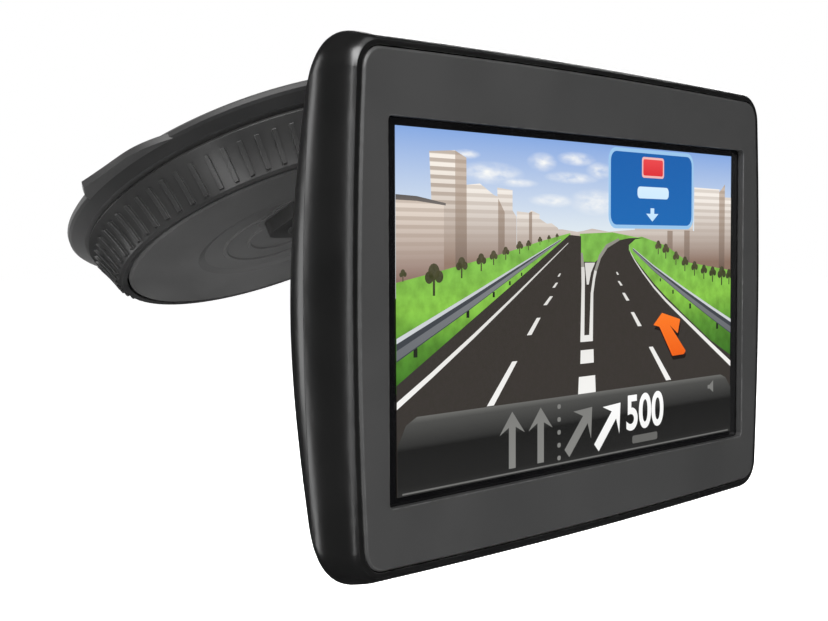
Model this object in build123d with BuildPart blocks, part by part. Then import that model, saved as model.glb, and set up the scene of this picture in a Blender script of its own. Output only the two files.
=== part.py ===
from build123d import *

import math
import os

os.makedirs("parts", exist_ok=True)

# Portable gps navigator on a twist-lock windscreen mount. Millimetres and degrees.
# Frame: the origin is the centre of the suction cup's seal on the windscreen, +Z is up, +X is to
# the driver's right across the display and +Y points from the display to the windscreen.

# Mount: heights are measured from the glass towards the driver, radii from the cup's axis
cup_yaw = 7.4  # turn of the cup's axis about the vertical
cup_pitch = 63.3  # rise of the cup's axis above the horizontal
cup_r = 41.0
seal_r = 35.0  # inner radius of the flat sealing lip
rim_height = 1.7
cup_top = 3.15
tab_thick = 1.2
# The pull tab's free edge leaves the rim in a curve and ends in a short slanting face
tab_curve = ((-38.3, 13.9), (-41.0, 11.0), (-42.6, 8.0), (-43.4, 3.2), (-44.0, -2.0), (-44.4, -4.6))
tab_end = ((-44.4, -4.6), (-42.0, -7.4), (-38.6, -9.6), (-35.0, -8.0), (-35.0, 12.5), (-38.3, 13.9))

base_r = 35.6
base_low = 3.2
base_high = 4.6
drum_r = 20.5
drum_bore = 18.5
boss_r = 2.8
boss_circle = 15.9
boss_low = 6.4

plate_r = 32.6
plate_low = 11.2
plate_high = 13.0
dish_r = 18.5
dish_floor_r = 17.0
dish_floor = 12.5
pad_size = (24.0, 18.0)
foot_size = (22.0, 16.0)
foot_v = 11.0  # the foot's place on the face plate, from the centre towards the display
foot_thick = 2.6
arm_screw_x = 7.5

ring_low = 3.7
ring_low_r = 38.0
ring_high = 12.8
ring_high_r = 34.4
ring_mid = (35.85, 8.3)  # a point on the slightly hollow side
ring_bore = 33.0
web_low = 4.9
web_high = 6.1
web_bore = 21.2
rib_count = 72
rib_width = 0.8
rib_proud = 0.6
rib_low = 6.0
rib_high = 11.9

lift = 2.5  # how far the lock pulls the middle of the cup off the glass
lock_turn = 60
ramp_start = 6.25
ramp_in_r = 22.0
ramp_out_r = 28.0
ramp_steps = ((-10, 0), (0, 0), (20, lift / 3), (40, lift * 2 / 3), (lock_turn, lift), (70, lift))
lug_angles = (90, 210, 330)
lug_width = 5.0
lug_low = 6.6
lug_high = 8.2
lug_reach = 27.2
hub_r = 7.0
hub_high = 8.0
flange_r = 9.0
flange_low = 1.7
flange_high = 3.0

# Ball joint: the ball's centre in the mount's own upright plane
ball_v = 31.6
ball_height = 38.2
ball_r = 8.0
neck_r = 3.3
neck_length = 12.5
arm_size = (11.0, 8.0)
arm_bend = 10.0
liner_bore = 8.15
liner_r = 9.6
socket_bore = 9.75
socket_r = 11.6
collar_bore = 11.8
collar_r = 13.6

# Display unit: depths are measured backwards from the front panel's face
ball_depth = 33.0
dock_x = -0.5
dock_z = 3.6
body_depth = 25.0
seam_depth = 8.0
wall = 1.5
display_z = -0.4  # the display sits a little below the middle of the panel

panel_w = 56.0
panel_h = 37.9
panel_corner = 3.6
panel_bow = (1.4, 0.7)
panel_thick = 2.4
panel_gap = 0.2
opening_size = (100.2, 56.3)
lip_thick = 1.25
touch_size = (102.4, 59.6)
touch_low = 1.3
touch_thick = 1.1
tray_size = (104.8, 64.6)
tray_low = 2.84
tray_high = 5.6
tray_wall = 0.3
chassis_low = 5.7
chassis_high = 7.2
board_size = (92.0, 68.0)
board_low = 9.0
board_high = 10.2

case_screws_at = [(x, z) for x in (-49.5, 49.5) for z in (-20.0, 20.0)]
chassis_screws_at = [(x, z) for x in (-35.0, 35.0) for z in (-34.7, 34.7)]
board_screws_at = [(x, z) for x in (-43.0, 43.0) for z in (-30.0, 30.0)]
case_post_r = 2.8
case_seat = 13.0

dock_boss_r = 24.5
dock_boss_high = 25.4
well_r = 22.0
well_floor = 22.7
dock_plate_r = 21.5
dock_plate_low = 23.0
dock_flange_high = 25.1
dock_hub_r = 19.6
dock_hub_high = 27.3
dock_ring_bore = 20.1
dock_ring_r = 24.4
dock_ring_high = 26.8
ring_screw_circle = 23.2

speaker_at = (35.5, -6.0)
speaker_r = 9.3
speaker_low = 15.2
speaker_high = 19.4
antenna_at = (-28.0, 22.0)
shield_at = (-34.0, -6.0)
shield_size = (22.0, 28.0)
shield_high = 12.6
shield_wall = 0.3
battery_at = (4.0, -13.0)
battery_size = (44.0, 28.0)
battery_low = 11.2
battery_high = 16.2
usb_size = (7.8, 2.6)
usb_mouth = -37.0
card_x = -33.0
card_size = (14.0, 1.5)
button_x = 30.0
button_depth = 12.0
button_size = (8.6, 3.2)
button_gap = 0.2
button_low = 32.8
button_top = 39.2

# The housing's skin from front to back: depth, half width, half height, corner radius, side bow, top bow
skin = (
    (0.3, 57.0, 38.8, 4.6, 1.3, 0.7),
    (1.2, 57.7, 39.5, 5.0, 1.3, 0.7),
    (3.0, 58.5, 40.1, 5.6, 1.4, 0.8),
    (6.5, 59.2, 40.7, 6.6, 1.7, 0.9),
    (10.0, 58.9, 40.2, 8.8, 3.4, 1.6),
    (14.0, 56.4, 37.8, 11.0, 5.0, 2.5),
    (18.0, 52.3, 33.9, 12.0, 5.2, 2.8),
    (21.5, 46.8, 28.9, 12.0, 5.0, 2.8),
    (24.0, 40.5, 23.6, 11.0, 4.6, 2.6),
    (25.0, 36.0, 20.2, 9.5, 4.2, 2.4),
)

# Directions and planes of the mount
yaw = math.radians(cup_yaw)
pitch = math.radians(cup_pitch)
from_glass = -Vector(-math.sin(yaw) * math.cos(pitch), math.cos(yaw) * math.cos(pitch), math.sin(pitch))
across = Vector(math.cos(yaw), math.sin(yaw), 0)
glass = Plane(origin=(0, 0, 0), x_dir=across, z_dir=from_glass)
cup_axis = Axis((0, 0, 0), from_glass)
cup_section = Plane(origin=(0, 0, 0), x_dir=across, z_dir=across.cross(from_glass))
arm_plane = Plane(origin=(0, 0, 0), x_dir=glass.y_dir, z_dir=across)

# Directions and planes of the display unit
ball = glass.y_dir * ball_v + from_glass * ball_height
face = ball - Vector(dock_x, ball_depth, dock_z)
socket_axis = Axis(ball, (0, 1, 0))
socket_section = Plane(origin=ball, x_dir=(1, 0, 0), z_dir=(0, 0, 1))


def off_glass(height):
    """Plane parallel to the windscreen, at a height towards the driver."""
    return glass.offset(height)


def outwards(angle):
    """Direction from the cup's axis, at an angle from the mount's own x direction."""
    return across * math.cos(math.radians(angle)) + glass.y_dir * math.sin(math.radians(angle))


def turned(angle, height):
    """Plane parallel to the windscreen, with its x direction turned by an angle."""
    return Plane(origin=from_glass * height, x_dir=outwards(angle), z_dir=from_glass)


def radial(angle):
    """Plane through the cup's axis, with x outwards at an angle and y away from the glass."""
    return Plane(origin=(0, 0, 0), x_dir=outwards(angle), z_dir=outwards(angle).cross(from_glass))


def depth(distance):
    """Plane parallel to the front panel, at a distance behind its face, with y up."""
    return Plane(origin=face + Vector(0, distance, 0), x_dir=(1, 0, 0), z_dir=(0, -1, 0))


def side_section(x):
    """Upright plane from front to back, with x up and y backwards."""
    return Plane(origin=face + Vector(x, 0, 0), x_dir=(0, 0, 1), z_dir=(-1, 0, 0))


def level_section(z):
    """Level plane, with x to the right and y backwards."""
    return Plane(origin=face + Vector(0, 0, z), x_dir=(1, 0, 0), z_dir=(0, 0, 1))


def around(angles, radius):
    """Points on a circle, at the given angles."""
    return [(radius * math.cos(math.radians(a)), radius * math.sin(math.radians(a))) for a in angles]


def closed_profile(*points):
    """Fill a polygon in the current sketch."""
    Polygon(*points, align=None)


def bowed_outline(half_w, half_h, corner, bow_w, bow_h):
    """Fill a rounded rectangle with bulging sides in the current sketch."""
    x = half_w - bow_w
    z = half_h - bow_h
    with BuildLine() as sides:
        ThreePointArc((-x, -z), (0, -half_h), (x, -z))
        ThreePointArc((x, -z), (half_w, 0), (x, z))
        ThreePointArc((x, z), (0, half_h), (-x, z))
        ThreePointArc((-x, z), (-half_w, 0), (-x, -z))
    make_face(sides.edges())
    fillet(vertices(), corner)


def pillow(inset, mode=Mode.ADD):
    """Loft the housing's skin, moved inwards and forwards by an inset, in the current part."""
    outlines = []
    for level, half_w, half_h, corner, bow_w, bow_h in skin:
        with BuildSketch(depth(level - inset)) as outline:
            bowed_outline(half_w - inset, half_h - inset, corner - inset / 2, bow_w, bow_h)
        outlines.append(outline.sketch)
    loft(outlines, mode=mode)


def slab(low, high, mode=Mode.ADD):
    """Extrude the current part's pending sketch, drawn at depth low, back to depth high."""
    extrude(amount=low - high, mode=mode)


def screws(plane, places, head_r, head_height, shank_r, shank_length, side=1):
    """Cross-head screws seated on a plane, with their heads on its positive or negative side."""
    with BuildSketch(plane) as heads:
        with Locations(*places):
            Circle(head_r)
    extrude(heads.sketch, amount=side * head_height)
    with BuildSketch(plane) as shanks:
        with Locations(*places):
            Circle(shank_r)
    extrude(shanks.sketch, amount=-side * shank_length)
    with BuildSketch(plane.offset(side * head_height)) as slots:
        with Locations(*places):
            Rectangle(1.2 * head_r, 0.3 * head_r)
            Rectangle(0.3 * head_r, 1.2 * head_r)
    extrude(slots.sketch, amount=-side * head_height / 2, mode=Mode.SUBTRACT)


# Suction cup: a flexible disc with a flat sealing lip, a flared rim and a pull tab
with BuildPart() as suction_cup:
    with BuildSketch(cup_section):
        closed_profile(
            (0, 0.9),
            (20, 0.8),
            (seal_r, 0),
            (cup_r - 0.4, 0),
            (cup_r, 0.4),
            (cup_r, 1.2),
            (cup_r - 0.4, rim_height),
            (38.4, 3.0),
            (base_r - 0.2, cup_top),
            (drum_bore - 0.3, cup_top),
            (12, 3.6),
            (hub_r, 3.6),
            (hub_r, flange_high),
            (flange_r, flange_high),
            (flange_r, flange_low),
            (0, flange_low),
        )
    revolve(axis=cup_axis)
    with BuildSketch(off_glass(rim_height - tab_thick)):
        with BuildLine():
            Spline(*tab_curve)
            Polyline(*tab_end)
        make_face()
    extrude(amount=tab_thick)
suction_cup.part.label = "suction_cup"
export_step(suction_cup.part, "parts/suction_cup.step")

# Base body: a floor under the ring and a drum that guides the lifting plunger
with BuildPart() as base_body:
    with BuildSketch(cup_section):
        closed_profile(
            (drum_bore, base_low),
            (base_r, base_low),
            (base_r, base_high),
            (drum_r, base_high),
            (drum_r, plate_low),
            (drum_bore, plate_low),
        )
    revolve(axis=cup_axis)
    boss_places = around((30, 150, 270), boss_circle)
    with BuildSketch(off_glass(boss_low)):
        with Locations(*boss_places):
            Circle(boss_r)
    extrude(amount=plate_low - boss_low)
    with BuildSketch(off_glass(boss_low)):
        with Locations(*boss_places):
            Circle(1.25)
    extrude(amount=plate_low - boss_low, mode=Mode.SUBTRACT)
    for angle in lug_angles:
        with BuildSketch(turned(angle, lug_low - 0.4)):
            with Locations(((drum_bore + drum_r) / 2, 0)):
                Rectangle(4, lug_width + 1)
        extrude(amount=plate_low - lug_low + 0.4, mode=Mode.SUBTRACT)
base_body.part.label = "base_body"
export_step(base_body.part, "parts/base_body.step")

# Lifting plunger: moulded into the cup's middle, with three lugs that ride on the ring's ramps
with BuildPart() as lift_plunger:
    with BuildSketch(off_glass(flange_low)):
        Circle(flange_r)
    extrude(amount=flange_high - flange_low)
    with BuildSketch(off_glass(flange_high)):
        Circle(hub_r)
    extrude(amount=hub_high - flange_high)
    for angle in lug_angles:
        with BuildSketch(turned(angle, lug_low)):
            with Locations((lug_reach / 2, 0)):
                Rectangle(lug_reach, lug_width)
        extrude(amount=lug_high - lug_low)
    with BuildSketch(off_glass(hub_high)):
        Circle(hub_r + 2)
    extrude(amount=lug_high - hub_high, mode=Mode.SUBTRACT)
    with BuildSketch(off_glass(flange_high)):
        Circle(2.6)
    extrude(amount=lug_high - flange_high, mode=Mode.SUBTRACT)
lift_plunger.part.label = "lift_plunger"
export_step(lift_plunger.part, "parts/lift_plunger.step")

# Return spring: a pair of disc springs that pushes the plunger back to the glass
with BuildPart() as return_spring:
    spring_low = hub_high + 0.02
    spring_high = plate_low - 0.02
    spring_mid = (spring_low + spring_high) / 2
    with BuildSketch(cup_section):
        closed_profile(
            (3.2, spring_low),
            (3.6, spring_low),
            (6.6, spring_mid),
            (3.6, spring_high),
            (3.2, spring_high),
            (5.9, spring_mid),
        )
    revolve(axis=cup_axis)
return_spring.part.label = "return_spring"
export_step(return_spring.part, "parts/return_spring.step")

# Grip ring: a slightly hollow cone with a band of fine ribs, and an inner web with three ramps
with BuildPart() as grip_ring:
    with BuildSketch(cup_section):
        with BuildLine():
            ring_side = ThreePointArc((ring_low_r, 4.2), ring_mid, (ring_high_r, 12.3))
            Polyline(ring_side @ 0, (ring_low_r - 0.8, 4.2), (ring_high_r - 0.8, 12.3), ring_side @ 1)
        make_face()
        offset(amount=rib_proud, kind=Kind.INTERSECTION)
    revolve(axis=cup_axis)
    with BuildSketch(off_glass(rib_low)):
        with PolarLocations(35.5, rib_count):
            Rectangle(6, rib_width)
    extrude(amount=rib_high - rib_low, mode=Mode.INTERSECT)
    with BuildSketch(cup_section):
        with BuildLine():
            ring_side = ThreePointArc((ring_low_r, 4.2), ring_mid, (ring_high_r, 12.3))
            Polyline(
                ring_side @ 1,
                (ring_high_r - 0.4, ring_high),
                (ring_bore, ring_high),
                (ring_bore, 10.8),
                (34.6, web_high),
                (web_bore, web_high),
                (web_bore, web_low),
                (36.0, web_low),
                (36.4, ring_low),
                (ring_low_r - 0.3, ring_low),
                ring_side @ 0,
            )
        make_face()
    revolve(axis=cup_axis)
    for angle in lug_angles:
        for turn, rise in ramp_steps:
            with BuildSketch(radial(angle + turn)):
                closed_profile(
                    (ramp_in_r, web_high - 0.2),
                    (ramp_out_r, web_high - 0.2),
                    (ramp_out_r, ramp_start + rise),
                    (ramp_in_r, ramp_start + rise),
                )
        loft(ruled=True)
grip_ring.part.label = "grip_ring"
export_step(grip_ring.part, "parts/grip_ring.step")

# Face plate: a flat cap with a shallow round dish, two fine raised rings and a pad for the arm
arm_screw_places = [(-arm_screw_x, foot_v), (arm_screw_x, foot_v)]
with BuildPart() as face_plate:
    with BuildSketch(cup_section):
        closed_profile(
            (0, plate_low),
            (plate_r, plate_low),
            (plate_r, plate_high - 0.5),
            (plate_r - 0.5, plate_high),
            (dish_r, plate_high),
            (dish_floor_r, dish_floor),
            (13.2, dish_floor),
            (13.0, dish_floor + 0.3),
            (12.4, dish_floor + 0.3),
            (12.2, dish_floor),
            (8.2, dish_floor),
            (8.0, dish_floor + 0.3),
            (7.4, dish_floor + 0.3),
            (7.2, dish_floor),
            (0, dish_floor),
        )
    revolve(axis=cup_axis)
    with BuildSketch(off_glass(plate_low)):
        with Locations((0, foot_v)):
            RectangleRounded(*pad_size, 3)
    extrude(amount=plate_high - plate_low)
    with BuildSketch(off_glass(plate_low)):
        with Locations(*arm_screw_places):
            Circle(1.15)
    extrude(amount=plate_high - plate_low, mode=Mode.SUBTRACT)
    with BuildSketch(off_glass(plate_low)):
        with Locations(*boss_places):
            Circle(1.15)
    extrude(amount=0.9, mode=Mode.SUBTRACT)
face_plate.part.label = "face_plate"
export_step(face_plate.part, "parts/face_plate.step")

# Screws that hold the base body to the face plate, heads towards the glass
with BuildPart() as base_screws:
    screws(off_glass(boss_low), boss_places, 2.2, 1.5, 1.1, 5.6, side=-1)
base_screws.part.label = "base_screws"
export_step(base_screws.part, "parts/base_screws.step")

# Support arm: a foot on the face plate, a bent bar, and a round neck with the ball
arm_corner = (foot_v, ball_height - (ball_v - foot_v) / math.tan(pitch))
arm_end = (foot_v, plate_high + foot_thick / 2)
bar_start = (ball_v - neck_length * math.sin(pitch), ball_height - neck_length * math.cos(pitch))
with BuildPart() as support_arm:
    with BuildSketch(off_glass(plate_high)):
        with Locations((0, foot_v)):
            RectangleRounded(*foot_size, 3)
    extrude(amount=foot_thick)
    with BuildSketch(off_glass(plate_high + foot_thick)):
        with Locations((0, foot_v)):
            RectangleRounded(arm_size[0] + 4.6, arm_size[1] + 4.6, 4)
    extrude(amount=4, taper=30)
    with BuildLine(arm_plane) as bar_path:
        FilletPolyline(bar_start, arm_corner, arm_end, radius=arm_bend)
    with BuildSketch(Plane(origin=bar_path.line @ 0, x_dir=across, z_dir=bar_path.line % 0)):
        RectangleRounded(*arm_size, 2.6)
    sweep()
    with BuildLine(arm_plane) as neck_path:
        Line((ball_v, ball_height), (bar_start[0] - 3 * math.sin(pitch), bar_start[1] - 3 * math.cos(pitch)))
    with BuildSketch(Plane(origin=neck_path.line @ 0, x_dir=across, z_dir=neck_path.line % 0)):
        Circle(neck_r)
    sweep()
    with Locations(ball):
        Sphere(ball_r)
    with BuildSketch(off_glass(plate_high)):
        with Locations(*arm_screw_places):
            Circle(1.05)
    extrude(amount=2.1, mode=Mode.SUBTRACT)
support_arm.part.label = "support_arm"
export_step(support_arm.part, "parts/support_arm.step")

# Screws that hold the arm's foot from behind the face plate
with BuildPart() as arm_screws:
    screws(off_glass(plate_low), arm_screw_places, 2.0, 1.3, 1.0, 3.8, side=-1)
arm_screws.part.label = "arm_screws"
export_step(arm_screws.part, "parts/arm_screws.step")

# Ball liner: a slotted band of bearing plastic between the ball and its socket
with BuildPart() as ball_liner:
    with BuildSketch(socket_section):
        Circle(liner_r)
        Circle(liner_bore, mode=Mode.SUBTRACT)
        with Locations((liner_r / 2, -0.3)):
            Rectangle(liner_r, 11.8, mode=Mode.INTERSECT)
    revolve(axis=socket_axis)
    for angle in (0, 90):
        with BuildSketch(depth(ball_depth + 1)):
            with Locations((dock_x, dock_z)):
                Rectangle(2.4 * liner_r, 1.2, rotation=angle + 45)
        slab(ball_depth + 1, ball_depth + liner_r, mode=Mode.SUBTRACT)
ball_liner.part.label = "ball_liner"
export_step(ball_liner.part, "parts/ball_liner.step")

# Dock plate: a flanged disc that turns in the housing's well, with the front half of the socket
with BuildPart() as dock_plate:
    with BuildSketch(socket_section):
        closed_profile(
            (0, dock_plate_low - ball_depth),
            (dock_plate_r, dock_plate_low - ball_depth),
            (dock_plate_r, dock_flange_high - ball_depth),
            (dock_hub_r, dock_flange_high - ball_depth),
            (dock_hub_r, dock_hub_high - 0.6 - ball_depth),
            (dock_hub_r - 0.6, dock_hub_high - ball_depth),
            (socket_r, dock_hub_high - ball_depth),
            (socket_r, 0.3),
            (0, 0.3),
        )
    revolve(axis=socket_axis)
    with BuildSketch(socket_section):
        Circle(socket_bore)
        with Locations((socket_bore / 2, 0.4)):
            Rectangle(socket_bore, 17.6, mode=Mode.INTERSECT)
    revolve(axis=socket_axis, mode=Mode.SUBTRACT)
dock_plate.part.label = "dock_plate"
export_step(dock_plate.part, "parts/dock_plate.step")

# Socket collar: a fluted ring nut that closes the socket behind the ball
with BuildPart() as socket_collar:
    with BuildSketch(socket_section):
        closed_profile(
            (0, -4.8),
            (collar_r - 0.6, -4.8),
            (collar_r, -4.2),
            (collar_r, 6.2),
            (collar_r - 1.6, 7.4),
            (0, 7.4),
        )
    revolve(axis=socket_axis)
    with BuildSketch(socket_section):
        with BuildLine():
            bore_side = RadiusArc((socket_bore, 0.5), (7.36, 6.4), -socket_bore)
            Polyline(
                bore_side @ 1,
                (7.36, 8),
                (0, 8),
                (0, -5),
                (collar_bore, -5),
                (collar_bore, 0.5),
                bore_side @ 0,
            )
        make_face()
    revolve(axis=socket_axis, mode=Mode.SUBTRACT)
    with BuildSketch(depth(ball_depth - 3)):
        with Locations((dock_x, dock_z)):
            with PolarLocations(collar_r + 0.5, 18):
                Circle(1.1)
    slab(ball_depth - 3, ball_depth + 5, mode=Mode.SUBTRACT)
socket_collar.part.label = "socket_collar"
export_step(socket_collar.part, "parts/socket_collar.step")

# Front bezel: the flat front panel with its display opening and a pocket for the touch panel
with BuildPart() as front_bezel:
    with BuildSketch(depth(0)):
        bowed_outline(panel_w, panel_h, panel_corner, *panel_bow)
    slab(0, panel_thick)
    chamfer(edges().group_by(Axis.Y)[0], 0.3)
    with BuildSketch(depth(0)):
        with Locations((0, display_z)):
            RectangleRounded(*opening_size, 0.8)
    slab(0, panel_thick, mode=Mode.SUBTRACT)
    with BuildSketch(depth(lip_thick)):
        with Locations((0, display_z)):
            Rectangle(touch_size[0] + 0.6, touch_size[1] + 0.6)
    slab(lip_thick, panel_thick, mode=Mode.SUBTRACT)
front_bezel.part.label = "front_bezel"
export_step(front_bezel.part, "parts/front_bezel.step")


def display_layer(size, low, high, mode=Mode.ADD):
    """A rectangular layer centred on the display."""
    with BuildSketch(depth(low)) as outline:
        with Locations((0, display_z)):
            Rectangle(*size)
    extrude(outline.sketch, amount=low - high, mode=mode)


touch_high = touch_low + touch_thick
with BuildPart() as touch_panel:
    display_layer(touch_size, touch_low, touch_high)
touch_panel.part.label = "touch_panel"
export_step(touch_panel.part, "parts/touch_panel.step")

# Foam frame between the touch panel and the display tray, with a gap for the touch ribbon
with BuildPart() as display_gasket:
    display_layer(touch_size, touch_high, tray_low - 0.02)
    display_layer((97, 56), touch_high, tray_low - 0.02, mode=Mode.SUBTRACT)
    with BuildSketch(depth(touch_high)):
        with Locations((50, 10)):
            Rectangle(5, 7.4)
    slab(touch_high, tray_low, mode=Mode.SUBTRACT)
display_gasket.part.label = "display_gasket"
export_step(display_gasket.part, "parts/display_gasket.step")

# Display module: a thin metal tray that holds the light guide and the LCD cell
inner_tray = (tray_size[0] - 2 * tray_wall, tray_size[1] - 2 * tray_wall)
film_size = (inner_tray[0] - 0.4, inner_tray[1] - 0.4)
guide_low = tray_high - tray_wall - 1.32
cell_low = guide_low - 1.04
with BuildPart() as display_tray:
    display_layer(tray_size, tray_low, tray_high)
    display_layer(inner_tray, tray_low, tray_high - tray_wall, mode=Mode.SUBTRACT)
display_tray.part.label = "display_tray"
export_step(display_tray.part, "parts/display_tray.step")

with BuildPart() as light_guide:
    display_layer(film_size, guide_low, guide_low + 1.3)
light_guide.part.label = "light_guide"
export_step(light_guide.part, "parts/light_guide.step")

with BuildPart() as lcd_cell:
    display_layer(film_size, cell_low, cell_low + 1.02)
lcd_cell.part.label = "lcd_cell"
export_step(lcd_cell.part, "parts/lcd_cell.step")

# Front shell: the glossy rim round the panel, with a ledge for it and bosses for the chassis
with BuildPart() as front_shell:
    pillow(0)
    split(bisect_by=depth(seam_depth), keep=Keep.TOP)
    with BuildSketch(depth(-1)):
        bowed_outline(panel_w + panel_gap, panel_h + panel_gap, panel_corner + panel_gap, *panel_bow)
    slab(-1, panel_thick, mode=Mode.SUBTRACT)
    with BuildSketch(depth(panel_thick)):
        bowed_outline(54.6, 36.4, 5, 1.5, 0.7)
    slab(panel_thick, seam_depth, mode=Mode.SUBTRACT)
    with BuildSketch(depth(chassis_low)):
        bowed_outline(57.2, 38, 6.5, 3.4, 1.4)
    slab(chassis_low, seam_depth, mode=Mode.SUBTRACT)
    with BuildSketch(depth(panel_thick)):
        for x, z in chassis_screws_at:
            with Locations((x, z)):
                Circle(1.7)
            with Locations((x, z + math.copysign(1.5, z))):
                Rectangle(3.4, 3)
    slab(panel_thick, chassis_low - 0.02)
    with BuildSketch(depth(chassis_low)):
        with Locations(*chassis_screws_at):
            Circle(0.85)
    extrude(amount=2.6, mode=Mode.SUBTRACT)
front_shell.part.label = "front_shell"
export_step(front_shell.part, "parts/front_shell.step")

# Middle chassis: a stamped plate that joins the display, the main board and both shells
with BuildPart() as middle_chassis:
    with BuildSketch(depth(chassis_low)):
        bowed_outline(56.2, 37.2, 6, 3.2, 1.3)
    slab(chassis_low, chassis_high)
    with BuildSketch(depth(chassis_high)):
        with Locations(*board_screws_at):
            Circle(2.2)
    slab(chassis_high, board_low)
    with BuildSketch(depth(chassis_high)):
        with Locations(*case_screws_at):
            Circle(2.4)
    slab(chassis_high, seam_depth)
    with BuildSketch(depth(chassis_low)):
        with Locations(*case_screws_at):
            Circle(1.1)
        with Locations(*board_screws_at):
            Circle(0.95)
        with Locations(*chassis_screws_at):
            Circle(0.95)
        with Locations((0, -27)):
            Rectangle(20, 7)
        with Locations((53.6, 10)):
            Rectangle(1.4, 8)
        with Locations((-24, 4), (24, 4)):
            RectangleRounded(26, 32, 4)
    slab(chassis_low, board_low, mode=Mode.SUBTRACT)
middle_chassis.part.label = "middle_chassis"
export_step(middle_chassis.part, "parts/middle_chassis.step")

with BuildPart() as chassis_screws:
    screws(depth(chassis_high), chassis_screws_at, 1.4, 0.8, 0.8, 3.6, side=-1)
chassis_screws.part.label = "chassis_screws"
export_step(chassis_screws.part, "parts/chassis_screws.step")


def block(low, high, centre, size, mode=Mode.ADD):
    """A rectangular block between two depths."""
    with BuildSketch(depth(low)) as outline:
        with Locations(centre):
            Rectangle(*size)
    extrude(outline.sketch, amount=low - high, mode=mode)


# Main board
with BuildPart() as main_board:
    with BuildSketch(depth(board_low)):
        RectangleRounded(*board_size, 2)
        with Locations(*board_screws_at):
            Circle(1.1, mode=Mode.SUBTRACT)
    slab(board_low, board_high)
main_board.part.label = "main_board"
export_step(main_board.part, "parts/main_board.step")

with BuildPart() as board_screws:
    screws(depth(board_high), board_screws_at, 1.8, 1.0, 0.85, 2.8, side=-1)
board_screws.part.label = "board_screws"
export_step(board_screws.part, "parts/board_screws.step")

with BuildPart() as processor:
    block(board_high, board_high + 1.2, (shield_at[0], -9), (14, 14))
processor.part.label = "processor"
export_step(processor.part, "parts/processor.step")

with BuildPart() as memory_chip:
    block(board_high, board_high + 1.0, (shield_at[0], 2.5), (11, 8))
memory_chip.part.label = "memory_chip"
export_step(memory_chip.part, "parts/memory_chip.step")

with BuildPart() as shield_can:
    block(board_high, shield_high, shield_at, shield_size)
    shield_inside = (shield_size[0] - 2 * shield_wall, shield_size[1] - 2 * shield_wall)
    block(board_high, shield_high - shield_wall, shield_at, shield_inside, Mode.SUBTRACT)
shield_can.part.label = "shield_can"
export_step(shield_can.part, "parts/shield_can.step")

# Satellite antenna: a ceramic patch with its metal face and feed pin
with BuildPart() as patch_antenna:
    block(board_high, board_high + 4, antenna_at, (18, 18))
    chamfer(edges().filter_by(Axis.Y), 0.6)
    block(board_high + 4, board_high + 4.1, antenna_at, (14.5, 14.5))
    with BuildSketch(depth(board_high + 4.1)):
        with Locations((antenna_at[0] + 1.6, antenna_at[1])):
            Circle(1.1)
    slab(board_high + 4.1, board_high + 4.4)
patch_antenna.part.label = "patch_antenna"
export_step(patch_antenna.part, "parts/patch_antenna.step")

# Power socket at the bottom edge
usb_mid = board_high + usb_size[1] / 2
usb_length = 5.6
with BuildPart() as usb_socket:
    block(board_high, board_high + usb_size[1], (0, usb_mouth + usb_length / 2), (usb_size[0], usb_length))
    block(
        board_high + 0.4,
        board_high + usb_size[1] - 0.4,
        (0, usb_mouth + usb_length / 2 - 0.6),
        (usb_size[0] - 0.8, usb_length),
        Mode.SUBTRACT,
    )
    block(usb_mid - 0.3, usb_mid + 0.3, (0, usb_mouth + 3.2), (usb_size[0] - 2.6, 4.4))
usb_socket.part.label = "usb_socket"
export_step(usb_socket.part, "parts/usb_socket.step")

with BuildPart() as card_socket:
    block(board_high, board_high + card_size[1], (card_x, -28.4), (card_size[0], 13))
    block(board_high + 0.3, board_high + 1.1, (card_x, -29.6), (card_size[0] - 2, 13), Mode.SUBTRACT)
card_socket.part.label = "card_socket"
export_step(card_socket.part, "parts/card_socket.step")

# Power switch on the board's top edge, and the button that presses it
with BuildPart() as power_switch:
    block(board_high, board_high + 3.6, (button_x, 30.2), (6, 3.6))
    block(button_depth - 0.9, button_depth + 0.6, (button_x, 32.15), (3, 0.3))
power_switch.part.label = "power_switch"
export_step(power_switch.part, "parts/power_switch.step")


def button_plane(height):
    """Level plane under or over the power button."""
    return Plane(origin=face + Vector(button_x, button_depth, height), x_dir=(1, 0, 0), z_dir=(0, 0, 1))


with BuildPart() as power_button:
    with BuildSketch(button_plane(button_low)):
        Rectangle(button_size[0] + 1.8, button_size[1])
    extrude(amount=0.9)
    with BuildSketch(button_plane(button_low)):
        SlotOverall(*button_size)
    extrude(amount=button_top - button_low)
    chamfer(edges().group_by(Axis.Z)[-1], 0.3)
power_button.part.label = "power_button"
export_step(power_button.part, "parts/power_button.step")

# Battery, its foam pad, and its lead to the board
with BuildPart() as battery_pad:
    block(board_high, battery_low - 0.02, battery_at, (battery_size[0] - 4, battery_size[1] - 4))
battery_pad.part.label = "battery_pad"
export_step(battery_pad.part, "parts/battery_pad.step")

with BuildPart() as battery:
    block(battery_low, battery_high, battery_at, battery_size)
    fillet(edges().filter_by(Axis.Z), 1.6)
battery.part.label = "battery"
export_step(battery.part, "parts/battery.step")

battery_top = battery_at[1] + battery_size[1] / 2
with BuildPart() as battery_lead:
    for x in (4.0, 7.0):
        with BuildLine(side_section(x)) as wire:
            FilletPolyline((battery_top, 13.7), (4.6, 13.7), (6.2, 11.5), (9, 11.5), radius=0.8)
        with BuildSketch(Plane(origin=wire.line @ 0, x_dir=(1, 0, 0), z_dir=wire.line % 0)):
            Circle(0.5)
        sweep()
    block(board_high, board_high + 2.5, (5.5, 10.6), (7, 3.4))
battery_lead.part.label = "battery_lead"
export_step(battery_lead.part, "parts/battery_lead.step")

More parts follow.
